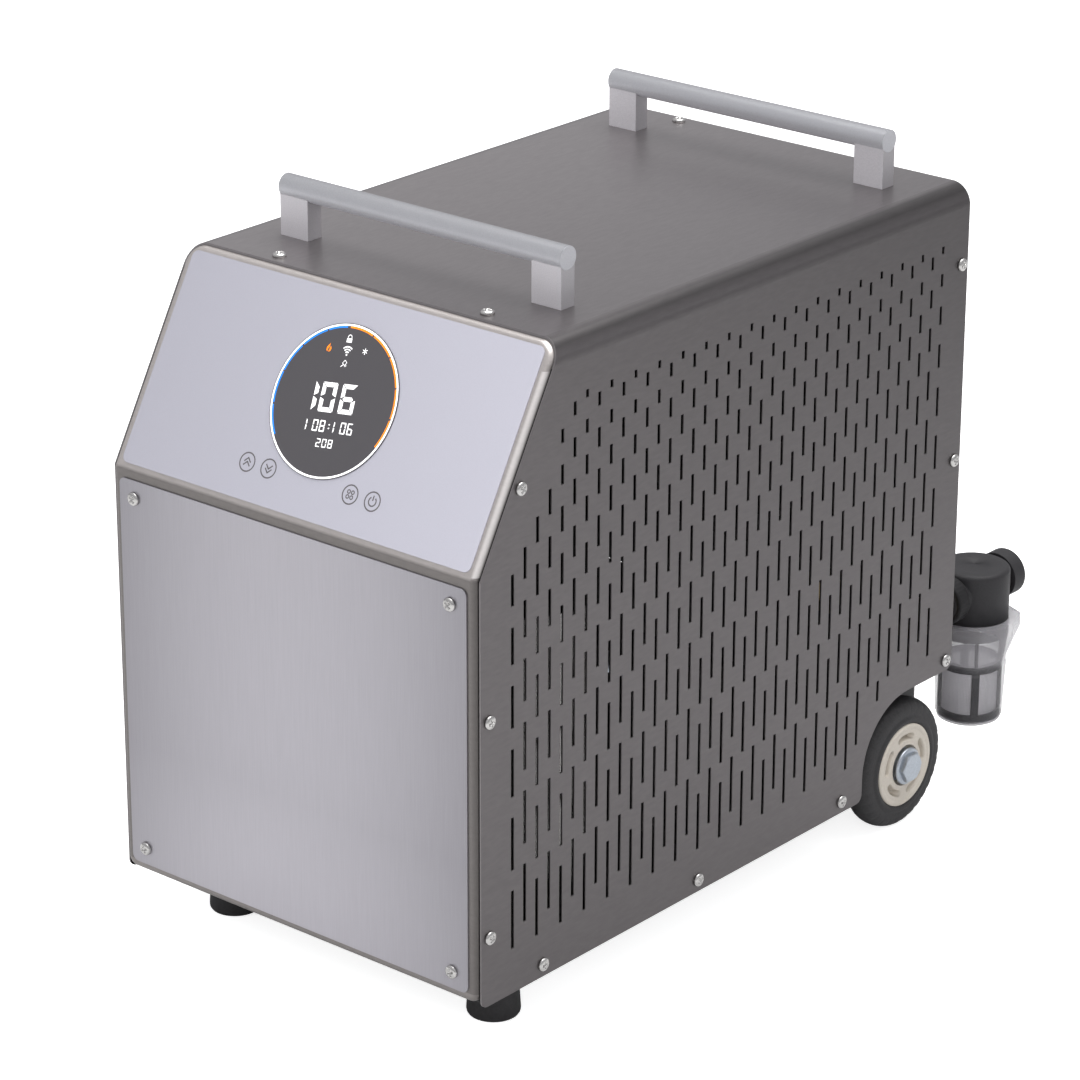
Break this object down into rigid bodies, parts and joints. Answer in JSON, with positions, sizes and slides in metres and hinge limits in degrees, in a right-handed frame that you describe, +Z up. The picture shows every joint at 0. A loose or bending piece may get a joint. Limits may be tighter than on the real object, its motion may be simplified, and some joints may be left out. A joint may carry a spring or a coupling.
{
  "type": "ice bath chiller",
  "caption": "Portable water chiller for an ice bath: slotted sheet-metal cabinet with a sloped round-display panel, bar handles, rear wheels, front feet and a clear-bowl inlet filter.",
  "frame": {"origin": "on the floor below the middle of the cabinet, between the feet and the wheels", "axes": "+X to the right seen from the front, +Y to the rear where the water filter is, +Z up"},
  "size_m": [0.3235, 0.6325, 0.5137],
  "materials": {
    "cabinet_sheet": "satin dark grey powder coat",
    "fascia_sheet": "satin metallic grey paint",
    "front_plate": "satin lavender grey paint",
    "overlay_film": "matte printed film",
    "display": "gloss dark window",
    "inner_plastic": "matte",
    "handle_aluminium": "satin anodised",
    "post_aluminium": "satin anodised",
    "inner_sheet": "satin grey",
    "black_rubber": "matte",
    "tyre_rubber": "matte",
    "hub_plastic": "matte cream",
    "zinc_steel": "zinc plated",
    "black_plastic": "matte",
    "clear_bowl": "clear moulded plastic",
    "filter_mesh": "fine woven wire",
    "brass_fitting": "turned",
    "compressor_black": "semi gloss black paint",
    "condenser_fins": "mill finish fins"
  },
  "bodies": {
    "cabinet": {"outer_wrap": "cabinet_sheet", "front_fascia": "fascia_sheet", "front_plate": "front_plate", "control_overlay": "overlay_film", "display_window": "display", "control_board": "inner_plastic", "front_handle_bar": "handle_aluminium", "front_left_post": "post_aluminium", "front_right_post": "post_aluminium", "rear_handle_bar": "handle_aluminium", "rear_left_post": "post_aluminium", "rear_right_post": "post_aluminium", "base_tray": "inner_sheet", "rear_panel": "cabinet_sheet", "left_wheel_bracket": "inner_sheet", "right_wheel_bracket": "inner_sheet", "left_foot": "black_rubber", "right_foot": "black_rubber", "left_axle_bolt": "zinc_steel", "right_axle_bolt": "zinc_steel", "filter_head": "black_plastic", "inlet_collar": "black_plastic", "strainer_frame": "black_plastic", "strainer_mesh": "filter_mesh", "inlet_pipe": "brass_fitting", "water_outlet": "brass_fitting", "power_socket": "black_plastic", "socket_pins": "zinc_steel", "compressor": "compressor_black", "compressor_grommets": "black_rubber", "heat_exchanger": "zinc_steel", "water_pump": "black_plastic", "condenser": "condenser_fins", "fan_shroud": "inner_sheet", "fan_motor": "zinc_steel", "electrical_box": "inner_plastic"},
    "left_wheel": {"left_tyre": "tyre_rubber", "left_hub": "hub_plastic"},
    "right_wheel": {"right_tyre": "tyre_rubber", "right_hub": "hub_plastic"},
    "fan": {"fan_blade": "black_plastic"},
    "bowl": {"filter_bowl": "clear_bowl"}
  },
  "joints": [
    {"name": "left_wheel_spin", "type": "hinge", "parent": "cabinet", "child": "left_wheel", "pos_m": [-0.147, 0.2077, 0.0485], "axis": [1, 0, 0], "continuous": true},
    {"name": "right_wheel_spin", "type": "hinge", "parent": "cabinet", "child": "right_wheel", "pos_m": [0.147, 0.2077, 0.0485], "axis": [1, 0, 0], "continuous": true},
    {"name": "fan_spin", "type": "hinge", "parent": "cabinet", "child": "fan", "pos_m": [0, 0.1988, 0.2975], "axis": [0, 1, 0], "continuous": true},
    {"name": "bowl_turn", "type": "hinge", "parent": "cabinet", "child": "bowl", "pos_m": [0.13, 0.3285, 0.08], "axis": [0, 0, 1], "continuous": true}
  ]
}
